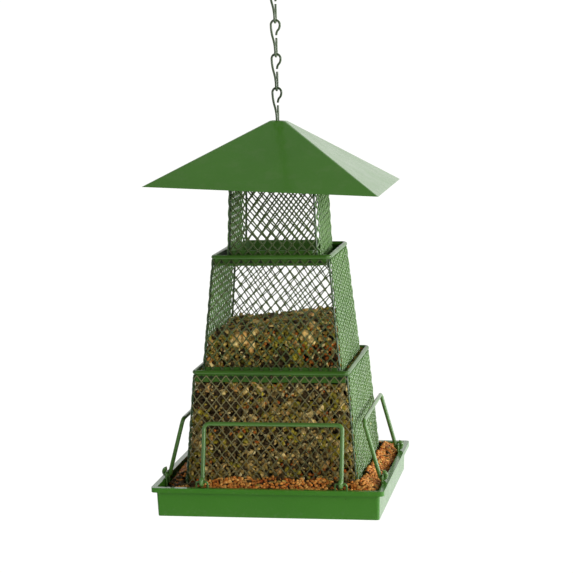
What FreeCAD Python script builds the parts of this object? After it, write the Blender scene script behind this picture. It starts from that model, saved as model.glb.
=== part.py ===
import FreeCAD, Part
import os
from math import acos, atan2, cos, pi, radians, sin, sqrt, tan
from FreeCAD import Placement, Rotation, Vector

# A hanging, three-tier wire mesh bird feeder that telescopes flat.
# Lengths are millimetres. Heights are given above the underside of the tray and each
# finished piece is moved down by HANG_Z, so the origin ends at the point the hook hangs by.
# Every "half" is half the width across flats of a square with rounded corners.

os.makedirs("parts", exist_ok=True)

# ---- sheet and wire sizes
SHEET = 0.9            # tray, roof and collar sheet
MESH = 1.4             # expanded mesh, thickness of the strands
LEAST_CORNER = 0.8     # bend radius inside the tightest corner
LINK_WIRE = 2.25
BAIL_WIRE = 2.4
HOOK_WIRE = 3.2
PERCH_WIRE = 4.0
STAPLE_WIRE = 2.1
FIT_GAP = 0.12         # play between two wires that hang in each other
SLIP = 0.1             # play where one tier rests on the flange of the tier above
NEST = 0.05            # mesh to the sheet band behind it

# ---- tray
TRAY_FLOOR_HALF = 107.0
TRAY_RIM_HALF = 108.0
TRAY_HEIGHT = 28.6
TRAY_FLANGE_HALF = 112.4
TRAY_CORNER = 3.0
TRAY_FLANGE_CORNER = 5.0
HEM = 4.6              # the flange edge is turned down this far

# ---- the three tiers: half width at a height, change of it with height, corner radius,
# top of the rim, foot of the mesh and radius of the rolled rim
BEAD_INSET = 1.5       # centre of the rim inside the outer face of the mesh
BEAD_CORNER = 2.3      # least bend radius of the rim
BEAD_GAP = 0.1         # rim to the cut edge of the mesh
MIDDLE_RIM = 245.8
LOWER_RIM = 136.4
MIDDLE_LEDGE = MIDDLE_RIM - 10.0     # underside of the ledge that stops the tier above
LOWER_LEDGE = LOWER_RIM - 11.0
UPPER = dict(half=46.6, at=235.0, slope=-0.0354, corner=10.0, rim=347.2, foot=MIDDLE_LEDGE,
             bead=1.7)
MIDDLE = dict(half=58.2, at=MIDDLE_RIM, slope=-0.0955, corner=6.0, rim=MIDDLE_RIM, foot=LOWER_LEDGE,
              bead=2.2)
LOWER = dict(half=76.0, at=LOWER_RIM, slope=-0.0819, corner=5.0, rim=LOWER_RIM, foot=1.9,
             bead=2.2)
MIDDLE_OPENING = 47.9  # the tier above slides through these
LOWER_OPENING = 70.9
OPENING_CORNER_GAP = 0.5
FLANGE_CORNER_GAP = 2.0
UPPER_BAND = 12.0      # top band of the upper tier
FOOT_BAND = 13.0       # upright of the flange at the foot of each tier
UPPER_FLANGE_HALF = 52.2
MIDDLE_FLANGE_HALF = 73.1
FRAME_LIP = 9.0        # foot of the lower tier, turned inwards on the tray floor

# ---- roof
ROOF_HALF = 111.4
ROOF_EAVE = 310.4
ROOF_APEX = 371.2
ROOF_FLAT_HALF = 7.9
ROOF_HOLE = 7.0
ROOF_CORNER = 1.5      # at the eave
ROOF_TOP_CORNER = 2.5
ROOF_TILT = 2.9        # the roof lies loose on the rim, down towards +X,
ROOF_NOD = -0.7        # a little down at the back,
ROOF_YAW = 1.3         # turned round the chain
ROOF_SHIFT = 1.0       # and to one side of it

# ---- chain, bail and hook
LINK_COUNT = 5
LINK_PITCH = 32.75
LINK_HALF_WIDTH = 4.4  # to the centre of the wire
BUTT_GAP = 2.4         # between the two ends of the link's wire
BUTT_RISE = 13.6       # the lower end stands up straight this far above the centre of its eye
CHAIN_START = 369.4    # where the first link bears on the bail
BAIL_BEND = 4.4
BAIL_EYE_Z = 339.0
BAIL_REACH = 45.2
BAIL_KNEE = 38.5
BAIL_STUB = 5.0        # the ends are turned up outside the mesh
BAIL_END_BEND = 1.8
BAIL_KNEE_BEND = 3.0
BAIL_HOLE_GAP = 0.3
HOOK_EYE = 5.6         # bend radii to the centre of the wire
HOOK_BOW = 9.6
HOOK_HEIGHT = 46.0
HOOK_TIP_DROP = 5.0
HOOK_FLARE = 8.0
HOOK_FLARE_TURN = 40.0
HOOK_EYE_TURN = 274.0  # the eye closes on its own shank

# ---- perches
PERCH_HALF_WIDTH = 67.0
PERCH_PIN_HALF = 106.2
PERCH_PIN_Z = 34.0
PERCH_EYE = 3.15       # bend radius of the eye
PERCH_LEAN = 15.2
PERCH_LEG = 55.6
PERCH_CORNER = 5.0
PERCH_CURL = 248.0
FRONT_SHIFT = 4.0      # the front perch sits a little to one side
STAPLE_HALF = 5.5
STAPLE_FOOT_Z = 9.0
STAPLE_BEND = 2.3

# ---- rivets that hold the foot frame to the tray floor
RIVET_R = 1.6
RIVET_HEAD_R = 3.0
RIVET_HEAD_H = 1.2
RIVET_PLACE = 45.0     # along each side
RIVET_HOLE_R = 1.65

# ---- seed
SEED_GAP = 0.6
SEED_LOW_SIDE = 166.5
SEED_HIGH_SIDE = 180.5
TRAY_SEED_HIGH = 33.0
TRAY_SEED_LOW = 22.0
TRAY_SEED_HALF = 103.2
GUTTER_SEED_DROP = 4.6  # seed in the lower gutter, below the rim
SEED_SIDE = 58.0       # the two heights of the middle tier's seed are at this distance
CUT_REACH = 90.0       # half size of the block that levels it

LINK_LENGTH = LINK_PITCH + LINK_WIRE + FIT_GAP
HOOK_LOW = CHAIN_START + LINK_COUNT * LINK_PITCH - HOOK_WIRE / 2 - FIT_GAP / 2
HOOK_TOP = HOOK_LOW + HOOK_HEIGHT
HANG_Z = HOOK_TOP - HOOK_WIRE / 2


def export(name, shape):
    """Puts the origin at the hanging point and writes one sub-part."""
    moved = shape.copy()
    moved.translate(Vector(0, 0, -HANG_Z))
    if not moved.isValid():
        raise ValueError(name + " is not a valid shape")
    moved.exportStep("parts/" + name + ".step")
    print(name, len(moved.Solids), round(moved.Volume, 1))


# ---------------------------------------------------------------- squares and sheets
def rounded_square(half, corner, z):
    """Closed wire of a square with rounded corners, flat at height z."""
    edges = []
    for k in range(4):
        turn = Rotation(Vector(0, 0, 1), 90 * k)
        flat_end = turn.multVec(Vector(half, half - corner, 0))
        side_start = turn.multVec(Vector(half, corner - half, 0))
        middle = half - corner + corner * sqrt(0.5)
        arc_middle = turn.multVec(Vector(middle, middle, 0))
        arc_end = turn.multVec(Vector(half - corner, half, 0))
        lift = Vector(0, 0, z)
        edges.append(Part.LineSegment(side_start + lift, flat_end + lift).toShape())
        edges.append(Part.Arc(flat_end + lift, arc_middle + lift, arc_end + lift).toShape())
    return Part.Wire(edges)


def block(half_low, half_high, corner, z_low, z_high, corner_high=None):
    """Solid between two rounded squares, straight from one to the other."""
    top_corner = corner if corner_high is None else corner_high
    wires = [rounded_square(half_low, corner, z_low), rounded_square(half_high, top_corner, z_high)]
    return Part.makeLoft(wires, True, True)


def half_at(tier, z):
    """Half width of a tier's outer face at height z."""
    return tier["half"] + tier["slope"] * (z - tier["at"])


def tier_block(tier, inset, z_low, z_high):
    """The solid inside a tier's outer face, moved in by inset."""
    corner = max(tier["corner"] - inset, LEAST_CORNER)
    return block(half_at(tier, z_low) - inset, half_at(tier, z_high) - inset, corner, z_low, z_high)


def tier_shell(tier, inset, thickness, z_low, z_high):
    """A tapered square tube that follows a tier's wall."""
    outer = tier_block(tier, inset, z_low, z_high)
    return outer.cut(tier_block(tier, inset + thickness, z_low - 1, z_high + 1))


def plate(half, corner, opening, opening_corner, z_low, thickness):
    """A flat square frame."""
    outer = block(half, half, corner, z_low, z_low + thickness)
    return outer.cut(block(opening, opening, opening_corner, z_low - 1, z_low + thickness + 1))


# ---------------------------------------------------------------- wire
def rod(edges, diameter):
    """Sweeps a round wire along edges that meet smoothly, given in any order."""
    path = Part.Wire(Part.__sortEdges__(edges))
    first = path.OrderedEdges[0]
    start = path.OrderedVertexes[0].Point
    heading = first.tangentAt(first.FirstParameter)
    circle = Part.Wire([Part.Circle(start, heading, diameter / 2).toShape()])
    return path.makePipeShell([circle], True, False)


def arc(centre, radius, across, along, start, end):
    """Arc edge about centre, from angle start to end, in the plane of two unit vectors."""
    def at(angle):
        a = radians(angle)
        return centre + across * (radius * cos(a)) + along * (radius * sin(a))
    return Part.Arc(at(start), at((start + end) / 2), at(end)).toShape()


def line(start, end):
    return Part.LineSegment(start, end).toShape()


def rounded_path(points, radii):
    """Straight runs through points, with an arc of the given radius at each inner point."""
    edges = []
    here = points[0]
    for before, point, after, radius in zip(points, points[1:], points[2:], radii):
        back = (before - point).normalize()
        onward = (after - point).normalize()
        half_angle = acos(back.dot(onward)) / 2
        reach = radius / tan(half_angle)
        middle = (back + onward).normalize() * (radius / sin(half_angle) - radius)
        edges.append(line(here, point + back * reach))
        edges.append(Part.Arc(point + back * reach, point + middle, point + onward * reach).toShape())
        here = point + onward * reach
    edges.append(line(here, points[-1]))
    return edges


def crossing(start, end):
    """Two equal arcs that leave start upright and reach end upright."""
    shift = Vector(end.x - start.x, end.y - start.y, 0)
    width = shift.Length
    height = end.z - start.z
    sweep = 2 * atan2(width, height)
    radius = height / (2 * sin(sweep))
    side = shift.normalize()
    up = Vector(0, 0, 1)
    turn = sweep * 180 / pi
    lower = arc(start + side * radius, radius, side * -1, up, 0, turn)
    upper = arc(end - side * radius, radius, side, up, -turn, 0)
    return [lower, upper]


# ---------------------------------------------------------------- chain and hook
X, Y, Z = Vector(1, 0, 0), Vector(0, 1, 0), Vector(0, 0, 1)


def chain_link(bottom_z):
    """One link bent from a single wire, whose two eyes are a quarter turn apart.

    One leg runs from eye to eye. The other is open where the ends of the wire face each other."""
    r = LINK_HALF_WIDTH
    low = Vector(0, 0, bottom_z + r)
    high = Vector(0, 0, bottom_z + LINK_LENGTH - r)
    stub_end = low + Y * r + Z * BUTT_RISE
    stub = line(low + Y * r, stub_end)
    right_side = crossing(stub_end + Z * BUTT_GAP, high + X * r)
    left_side = crossing(low - Y * r, high - X * r)
    top_eye = arc(high, r, X, Z, 0, 180)
    bottom_eye = arc(low, r, Y, Z, 180, 360)
    return rod([stub, bottom_eye] + left_side + [top_eye] + right_side, LINK_WIRE)


def hanging_hook():
    """S hook: a closed eye below for the chain and an open bow above."""
    eye = Vector(0, 0, HOOK_LOW + HOOK_EYE)
    bow = Vector(0, 0, HOOK_TOP - HOOK_BOW)
    lower, upper = crossing(eye - Y * HOOK_EYE, bow + Y * HOOK_BOW)
    tip = bow - Y * HOOK_BOW
    tip_end = tip - Z * HOOK_TIP_DROP
    flare = arc(tip_end - Y * HOOK_FLARE, HOOK_FLARE, Y, Z, 0, -HOOK_FLARE_TURN)
    edges = [arc(eye, HOOK_EYE, Y, Z, HOOK_EYE_TURN - 180, -180), lower, upper]
    edges += [arc(bow, HOOK_BOW, Y, Z, 0, 180), line(tip, tip_end), flare]
    return rod(edges, HOOK_WIRE)


def hanging_bail():
    """Bent wire across the mouth of the upper tier; the chain pulls on its apex."""
    top = CHAIN_START + BAIL_WIRE / 2 + FIT_GAP / 2
    slope = atan2(top - BAIL_EYE_Z, BAIL_KNEE)
    apex = top + BAIL_BEND / cos(slope) - BAIL_BEND
    side = [Vector(BAIL_REACH, 0, BAIL_EYE_Z + BAIL_STUB), Vector(BAIL_REACH, 0, BAIL_EYE_Z),
            Vector(BAIL_KNEE, 0, BAIL_EYE_Z)]
    other = [Vector(-p.x, 0, p.z) for p in reversed(side)]
    points = side + [Vector(0, 0, apex)] + other
    bends = [BAIL_END_BEND, BAIL_KNEE_BEND, BAIL_BEND, BAIL_KNEE_BEND, BAIL_END_BEND]
    return rod(rounded_path(points, bends), BAIL_WIRE)


def bail_holes():
    """Clearance for the ends of the bail through the top of the upper tier."""
    radius = BAIL_WIRE / 2 + BAIL_HOLE_GAP
    return Part.makeCylinder(radius, 4 * BAIL_REACH, Vector(-2 * BAIL_REACH, 0, BAIL_EYE_Z), X)


# ---------------------------------------------------------------- roof and tiers
def roof():
    """Folded sheet pyramid, flat at the apex, with a hole for the chain, as it lies on the rim."""
    outer = block(ROOF_HALF, ROOF_FLAT_HALF, ROOF_CORNER, ROOF_EAVE, ROOF_APEX, ROOF_TOP_CORNER)
    inner = outer.copy()
    inner.translate(Vector(0, 0, -SHEET))
    wide = ROOF_HALF + 1
    below = block(wide, wide, ROOF_CORNER, ROOF_EAVE - 2 * SHEET, ROOF_EAVE - SHEET / 2)
    shell = outer.cut(inner).cut(below)
    folded = shell.cut(Part.makeCylinder(ROOF_HOLE, 10, Vector(0, 0, ROOF_APEX - 5)))
    lie = Rotation(X, ROOF_NOD).multiply(Rotation(Y, ROOF_TILT)).multiply(Rotation(Z, ROOF_YAW))
    folded.Placement = Placement(Vector(ROOF_SHIFT, 0, 0), lie, Vector(0, 0, ROOF_APEX))
    return folded


def rim_bead(tier):
    """Rolled edge along a tier's rim."""
    half = half_at(tier, tier["rim"]) - BEAD_INSET
    corner = max(tier["corner"] - BEAD_INSET, BEAD_CORNER)
    path = rounded_square(half, corner, tier["rim"] - tier["bead"])
    start = path.Edges[0].valueAt(path.Edges[0].FirstParameter)
    circle = Part.Wire([Part.Circle(start, Y, tier["bead"]).toShape()])
    return path.makePipeShell([circle], True, False)


def collar(tier, ledge, opening, opening_corner):
    """Rolled rim, a band behind the mesh, and a ledge that the tier above passes through."""
    band = tier_shell(tier, MESH + NEST, SHEET, ledge, tier["rim"] - tier["bead"])
    half = half_at(tier, ledge) - MESH - NEST - SHEET / 2
    shelf = plate(half, tier["corner"], opening, opening_corner, ledge, SHEET)
    return rim_bead(tier).fuse([band, shelf]).removeSplitter()


def top_band():
    """Rolled rim and band at the mouth of the upper tier."""
    band = tier_shell(UPPER, MESH + NEST, SHEET, UPPER["rim"] - UPPER_BAND, UPPER["rim"] - UPPER["bead"])
    return rim_bead(UPPER).fuse(band).removeSplitter().cut(bail_holes())


def mesh_wall(tier):
    """The mesh of one tier as a thin wall over the strands' thickness."""
    return tier_shell(tier, 0, MESH, tier["foot"], tier["rim"] - 2 * tier["bead"] - BEAD_GAP)


def stop_flange(tier, flange_half, corner):
    """Angle at the foot of a tier; its flange catches under the ledge below it."""
    top = tier["foot"] - SLIP
    opening = half_at(tier, top) - MESH - NEST - SHEET
    upright = tier_shell(tier, MESH + NEST, SHEET, top - SHEET / 2, top + FOOT_BAND)
    foot = plate(flange_half, corner, opening, tier["corner"], top - SHEET, SHEET)
    return upright.fuse(foot).removeSplitter()


def rivet_places():
    inset = half_at(LOWER, LOWER["foot"]) - MESH - FRAME_LIP / 2
    for k in range(4):
        turn = Rotation(Z, 90 * k)
        for along in (-RIVET_PLACE, RIVET_PLACE):
            yield turn.multVec(Vector(inset, along, 0))


def rivet_holes(z_low, z_high):
    return [Part.makeCylinder(RIVET_HOLE_R, z_high - z_low, Vector(p.x, p.y, z_low)) for p in rivet_places()]


def base_frame():
    """Angle at the foot of the lower tier, riveted to the tray floor."""
    z = SHEET
    half = half_at(LOWER, z) - MESH - NEST
    upright = tier_shell(LOWER, MESH + NEST, SHEET, z, z + FOOT_BAND)
    foot = plate(half, LOWER["corner"], half - FRAME_LIP, LOWER["corner"], z, SHEET)
    return upright.fuse(foot).removeSplitter().cut(rivet_holes(z - 1, z + 2 * SHEET))


def base_rivets():
    """Eight rivets, flush under the tray and domed inside."""
    head_z = 2 * SHEET
    ball = (RIVET_HEAD_R ** 2 + RIVET_HEAD_H ** 2) / (2 * RIVET_HEAD_H)
    solids = []
    for p in rivet_places():
        shank = Part.makeCylinder(RIVET_R, head_z + 0.2, Vector(p.x, p.y, 0))
        dome = Part.makeSphere(ball, Vector(p.x, p.y, head_z + RIVET_HEAD_H - ball))
        keep = Part.makeCylinder(RIVET_HEAD_R + 1, RIVET_HEAD_H + 1, Vector(p.x, p.y, head_z))
        solids.append(shank.fuse(dome.common(keep)).removeSplitter())
    return Part.makeCompound(solids)


# ---------------------------------------------------------------- tray
def tray():
    """Pressed square pan with a flat flange and a turned-down edge."""
    outer = block(TRAY_FLOOR_HALF, TRAY_RIM_HALF, TRAY_CORNER, 0, TRAY_HEIGHT)
    rise = (TRAY_RIM_HALF - TRAY_FLOOR_HALF) / TRAY_HEIGHT
    floor_half = TRAY_FLOOR_HALF + rise * SHEET - SHEET
    mouth_half = TRAY_RIM_HALF + rise * SHEET - SHEET
    pan = outer.cut(block(floor_half, mouth_half, TRAY_CORNER - SHEET, SHEET, TRAY_HEIGHT + SHEET))
    flange = plate(TRAY_FLANGE_HALF, TRAY_FLANGE_CORNER, TRAY_RIM_HALF - SHEET / 2, TRAY_CORNER,
                   TRAY_HEIGHT - SHEET, SHEET)
    hem = plate(TRAY_FLANGE_HALF, TRAY_FLANGE_CORNER, TRAY_FLANGE_HALF - SHEET,
                TRAY_FLANGE_CORNER - SHEET, TRAY_HEIGHT - HEM, HEM)
    return pan.fuse([flange, hem]).removeSplitter().cut(rivet_holes(-1, 2 * SHEET))


# ---------------------------------------------------------------- perches
def on_side(shape, k):
    """Turns a piece built at the front to side k: front, right, back, left."""
    turned = shape.copy()
    turned.Placement = Placement(Vector(), Rotation(Z, 90 * k)).multiply(turned.Placement)
    return turned


def perch(shift):
    """U of wire whose legs end in eyes that curl round the staples of the front wall."""
    out = Y * -1
    lean = radians(PERCH_LEAN)
    leg = out * -sin(lean) + Z * cos(lean)
    pin = out * PERCH_PIN_HALF + Z * PERCH_PIN_Z
    foot_angle = 180 + PERCH_LEAN
    foot = pin + (out * -cos(lean) + Z * -sin(lean)) * PERCH_EYE
    head = foot + leg * PERCH_LEG
    left, right = X * (shift - PERCH_HALF_WIDTH), X * (shift + PERCH_HALF_WIDTH)
    start = arc(pin + left, PERCH_EYE, out, Z, foot_angle + PERCH_CURL, foot_angle)
    end = arc(pin + right, PERCH_EYE, out, Z, foot_angle, foot_angle + PERCH_CURL)
    frame = rounded_path([foot + left, head + left, head + right, foot + right], [PERCH_CORNER] * 2)
    return rod([start] + frame + [end], PERCH_WIRE)


def staple(place):
    """Wire loop spot welded inside the front wall; its bow is a perch's pivot."""
    rise = (TRAY_RIM_HALF - TRAY_FLOOR_HALF) / TRAY_HEIGHT
    drop = PERCH_PIN_Z - STAPLE_FOOT_Z
    bow_y = -PERCH_PIN_HALF
    foot_y = bow_y + rise * drop
    points = [
        Vector(place - STAPLE_HALF, foot_y, STAPLE_FOOT_Z), Vector(place - STAPLE_HALF, bow_y, PERCH_PIN_Z),
        Vector(place + STAPLE_HALF, bow_y, PERCH_PIN_Z), Vector(place + STAPLE_HALF, foot_y, STAPLE_FOOT_Z),
    ]
    return rod(rounded_path(points, [STAPLE_BEND] * 2), STAPLE_WIRE)


# ---------------------------------------------------------------- seed
def seed_lower():
    """Seed that fills the lower tier, up to the flange of the middle tier."""
    top = MIDDLE["foot"] - SLIP - SHEET - SEED_GAP
    floor = 2 * SHEET + RIVET_HEAD_H + SEED_GAP / 2
    return tier_block(LOWER, MESH + NEST + SHEET + SEED_GAP, floor, top)


def seed_middle():
    """Seed in the middle tier, its surface sloping up towards +X."""
    inset = MESH + NEST + SHEET + SEED_GAP
    full = tier_block(MIDDLE, inset, MIDDLE["foot"] + SEED_GAP, SEED_HIGH_SIDE + 1)
    slope = atan2(SEED_HIGH_SIDE - SEED_LOW_SIDE, 2 * SEED_SIDE)
    above = Part.makeBox(2 * CUT_REACH, 2 * CUT_REACH, CUT_REACH, Vector(-CUT_REACH, -CUT_REACH, 0))
    middle_z = (SEED_HIGH_SIDE + SEED_LOW_SIDE) / 2
    above.Placement = Placement(Vector(0, 0, middle_z), Rotation(Y, -slope * 180 / pi))
    return full.cut(above)


def seed_gutter():
    """Seed caught in the gutter of the lower collar."""
    low = LOWER_LEDGE + SHEET
    high = LOWER_RIM - GUTTER_SEED_DROP
    outer = tier_block(LOWER, MESH + NEST + SHEET + SEED_GAP / 2, low, high)
    corner = MIDDLE["corner"] + 2 * OPENING_CORNER_GAP
    return outer.cut(block(LOWER_OPENING, LOWER_OPENING, corner, low - 1, high + 1))


def seed_tray():
    """Spilled seed, heaped against the foot of the mesh and lower at the tray wall."""
    floor = SHEET
    low = block(TRAY_SEED_HALF, TRAY_SEED_HALF, TRAY_CORNER, floor, TRAY_SEED_LOW)
    inner_half = half_at(LOWER, TRAY_SEED_HIGH) + SEED_GAP
    heap = block(TRAY_SEED_HALF, inner_half, TRAY_CORNER, TRAY_SEED_LOW, TRAY_SEED_HIGH)
    return low.fuse(heap).removeSplitter().cut(tier_block(LOWER, -SEED_GAP, floor - 1, TRAY_SEED_HIGH + 1))


# ---------------------------------------------------------------- all pieces
export("hanging_hook", hanging_hook())
for number in range(1, LINK_COUNT + 1):
    bottom = CHAIN_START + (number - 1) * LINK_PITCH - LINK_WIRE / 2 - FIT_GAP / 2
    export("chain_link_%d" % number, chain_link(bottom))
export("hanging_bail", hanging_bail())
export("roof", roof())

export("upper_mesh", mesh_wall(UPPER).cut(bail_holes()))
export("upper_top_band", top_band())
export("upper_stop_flange", stop_flange(UPPER, UPPER_FLANGE_HALF, UPPER["corner"] + FLANGE_CORNER_GAP))

export("middle_mesh", mesh_wall(MIDDLE))
export("middle_collar", collar(MIDDLE, MIDDLE_LEDGE, MIDDLE_OPENING, UPPER["corner"] + OPENING_CORNER_GAP))
export("middle_stop_flange", stop_flange(MIDDLE, MIDDLE_FLANGE_HALF, MIDDLE["corner"] + FLANGE_CORNER_GAP))

export("lower_mesh", mesh_wall(LOWER))
export("lower_collar", collar(LOWER, LOWER_LEDGE, LOWER_OPENING, MIDDLE["corner"] + 2 * OPENING_CORNER_GAP))
export("lower_base_frame", base_frame())
export("base_rivets", base_rivets())
export("tray", tray())

for k, side in enumerate(("front", "right", "back", "left")):
    shift = FRONT_SHIFT if side == "front" else 0.0
    export("perch_" + side, on_side(perch(shift), k))
    pair = [staple(shift - PERCH_HALF_WIDTH), staple(shift + PERCH_HALF_WIDTH)]
    export("perch_staples_" + side, on_side(Part.makeCompound(pair), k))

export("seed_lower", seed_lower())
export("seed_middle", seed_middle())
export("seed_gutter", seed_gutter())
export("seed_tray", seed_tray())
print("hanging height", HANG_Z)
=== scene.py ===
import math

import bpy
import numpy as np
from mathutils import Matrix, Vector, noise


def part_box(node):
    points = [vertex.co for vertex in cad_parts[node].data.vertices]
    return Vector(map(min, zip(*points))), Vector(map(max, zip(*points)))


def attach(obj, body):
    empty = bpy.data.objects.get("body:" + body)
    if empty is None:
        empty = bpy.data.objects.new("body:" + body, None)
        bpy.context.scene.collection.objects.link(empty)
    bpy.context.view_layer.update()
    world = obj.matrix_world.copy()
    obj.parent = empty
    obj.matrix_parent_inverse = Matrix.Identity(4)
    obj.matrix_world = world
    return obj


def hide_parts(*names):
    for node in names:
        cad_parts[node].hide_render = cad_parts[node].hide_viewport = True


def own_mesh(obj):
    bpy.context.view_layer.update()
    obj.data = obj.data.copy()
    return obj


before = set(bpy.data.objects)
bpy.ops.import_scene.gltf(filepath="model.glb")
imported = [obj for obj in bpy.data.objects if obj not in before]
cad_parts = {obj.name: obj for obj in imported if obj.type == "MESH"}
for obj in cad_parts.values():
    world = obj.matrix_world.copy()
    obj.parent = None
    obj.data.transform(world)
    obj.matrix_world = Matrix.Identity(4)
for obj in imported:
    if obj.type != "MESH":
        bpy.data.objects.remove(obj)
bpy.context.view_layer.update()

# A hanging three-tier mesh bird feeder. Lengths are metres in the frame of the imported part.
MM = 0.001
UPWARD = np.array((0.0, 0.0, 1.0))
draw = np.random.default_rng(20)

BASE_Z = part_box("tray")[0].z             # underside of the tray


# ------------------------------------------------------------------ camera
AIM = Vector((0.00495, 0.0, BASE_Z + 0.2074))
AZIMUTH, ELEVATION, ROLL = math.radians(9.89), math.radians(7.87), math.radians(-1.36)
DISTANCE = 1.939
SENSOR = 36.0
LENS = 123.08

back = Vector((math.sin(AZIMUTH) * math.cos(ELEVATION), -math.cos(AZIMUTH) * math.cos(ELEVATION),
               math.sin(ELEVATION)))
level_right = (-back).cross(Vector((0, 0, 1))).normalized()
level_up = level_right.cross(-back)
right = level_right * math.cos(ROLL) + level_up * math.sin(ROLL)
up = level_up * math.cos(ROLL) - level_right * math.sin(ROLL)

lens_data = bpy.data.cameras.new("camera")
camera = bpy.data.objects.new("camera", lens_data)
bpy.context.scene.collection.objects.link(camera)
lens_data.sensor_width = SENSOR
lens_data.lens = LENS
lens_data.clip_start, lens_data.clip_end = 0.05, 50.0
turn = camera.matrix_world.to_3x3()
turn.col[0], turn.col[1], turn.col[2] = right, up, back
camera.matrix_world = turn.to_4x4()
camera.location = AIM + back * DISTANCE
bpy.context.scene.camera = camera
bpy.context.scene.view_settings.view_transform = "Standard"


# ------------------------------------------------------------------ node helpers
def new_material(name):
    material = bpy.data.materials.new(name)
    material.use_nodes = True
    tree = material.node_tree
    return material, tree, tree.nodes["Principled BSDF"]


def add(tree, kind, **values):
    """A node with its properties and, by input name, its unlinked values."""
    node = tree.nodes.new(kind)
    for key, value in values.items():
        socket = key.replace("_", " ")
        if socket in node.inputs:
            node.inputs[socket].default_value = value
        else:
            setattr(node, key, value)
    return node


def join(tree, source, target):
    tree.links.new(source, target)


def noise_node(tree, place, scale, detail=3.0, rough=0.5):
    node = add(tree, "ShaderNodeTexNoise", Scale=scale, Detail=detail, Roughness=rough)
    join(tree, place, node.inputs["Vector"])
    return node.outputs["Fac"]


def ramp(tree, value, stops):
    """Colour by value, from a list of (position, colour)."""
    node = tree.nodes.new("ShaderNodeValToRGB")
    points = node.color_ramp.elements
    while len(points) < len(stops):
        points.new(0.5)
    for point, (position, colour) in zip(points, stops):
        point.position = position
        point.color = (*colour, 1.0)
    join(tree, value, node.inputs["Fac"])
    return node.outputs["Color"]


def span(tree, value, low, high, to_low=0.0, to_high=1.0):
    """The value's range from low to high, stretched to a new range and clamped to it."""
    node = tree.nodes.new("ShaderNodeMapRange")
    sockets = ("From Min", "From Max", "To Min", "To Max")
    for socket, number in zip(sockets, (low, high, to_low, to_high)):
        node.inputs[socket].default_value = number
    join(tree, value, node.inputs["Value"])
    return node.outputs["Result"]


def maths(tree, operation, a, b):
    node = add(tree, "ShaderNodeMath", operation=operation)
    for socket, value in zip(node.inputs, (a, b)):
        if isinstance(value, (int, float)):
            socket.default_value = value
        else:
            join(tree, value, socket)
    return node.outputs["Value"]


def mix(tree, share, a, b, blend="MIX"):
    """Colour mix; share, a and b are sockets or plain values."""
    node = add(tree, "ShaderNodeMix", data_type="RGBA", blend_type=blend)
    for socket, value in zip((node.inputs[0], node.inputs[6], node.inputs[7]), (share, a, b)):
        if isinstance(value, tuple):
            socket.default_value = (*value, 1.0)
        elif isinstance(value, float):
            socket.default_value = value
        else:
            join(tree, value, socket)
    return node.outputs[2]


def bump(tree, shader, parts):
    """Chains bumps given as (height socket, distance in metres, strength)."""
    normal = None
    for height, distance, strength in parts:
        node = add(tree, "ShaderNodeBump", Strength=strength, Distance=distance)
        join(tree, height, node.inputs["Height"])
        if normal is not None:
            join(tree, normal, node.inputs["Normal"])
        normal = node.outputs["Normal"]
    join(tree, normal, shader.inputs["Normal"])


def place_of(tree):
    return tree.nodes.new("ShaderNodeTexCoord").outputs["Object"]


# ------------------------------------------------------------------ materials
SPECKLE_GREEN, DUST, BARE_STEEL = (0.11, 0.21, 0.06), (0.30, 0.31, 0.22), (0.22, 0.24, 0.17)


def painted(name, colour, deep, rough, coat, dust=0.12, chips=0.0):
    """Satin enamel: slow colour drift, orange peel, dust on what faces up, worn edges."""
    material, tree, shader = new_material(name)
    place = place_of(tree)
    drift = noise_node(tree, place, 14.0, 4.0)
    base = mix(tree, span(tree, drift, 0.35, 0.65), deep, colour)
    speckle = noise_node(tree, place, 420.0, 2.0)
    base = mix(tree, span(tree, speckle, 0.55, 0.75, 0.0, 0.08), base, SPECKLE_GREEN)
    up_facing = tree.nodes.new("ShaderNodeSeparateXYZ")
    join(tree, tree.nodes["Texture Coordinate"].outputs["Normal"], up_facing.inputs["Vector"])
    settled = maths(tree, "MULTIPLY", span(tree, up_facing.outputs["Z"], 0.6, 1.0, 0.0, dust),
                    span(tree, noise_node(tree, place, 60.0, 5.0, 0.65), 0.5, 0.75))
    base = mix(tree, settled, base, DUST)
    if chips:
        edge = tree.nodes.new("ShaderNodeNewGeometry").outputs["Pointiness"]
        worn = maths(tree, "MULTIPLY", span(tree, edge, 0.53, 0.60),
                     span(tree, noise_node(tree, place, 240.0, 3.0, 0.7), 0.56, 0.66))
        base = mix(tree, maths(tree, "MULTIPLY", worn, chips), base, BARE_STEEL)
    join(tree, base, shader.inputs["Base Color"])
    smudge = noise_node(tree, place, 35.0, 5.0, 0.6)
    join(tree, span(tree, smudge, 0.35, 0.7, rough - 0.07, rough + 0.09), shader.inputs["Roughness"])
    shader.inputs["Coat Weight"].default_value = coat
    shader.inputs["Coat Roughness"].default_value = 0.12
    shader.inputs["Specular IOR Level"].default_value = 0.2
    bump(tree, shader, [(noise_node(tree, place, 520.0, 1.0), 0.0002, 0.05),
                        (noise_node(tree, place, 30.0, 1.0), 0.0010, 0.015)])
    return material


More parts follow.
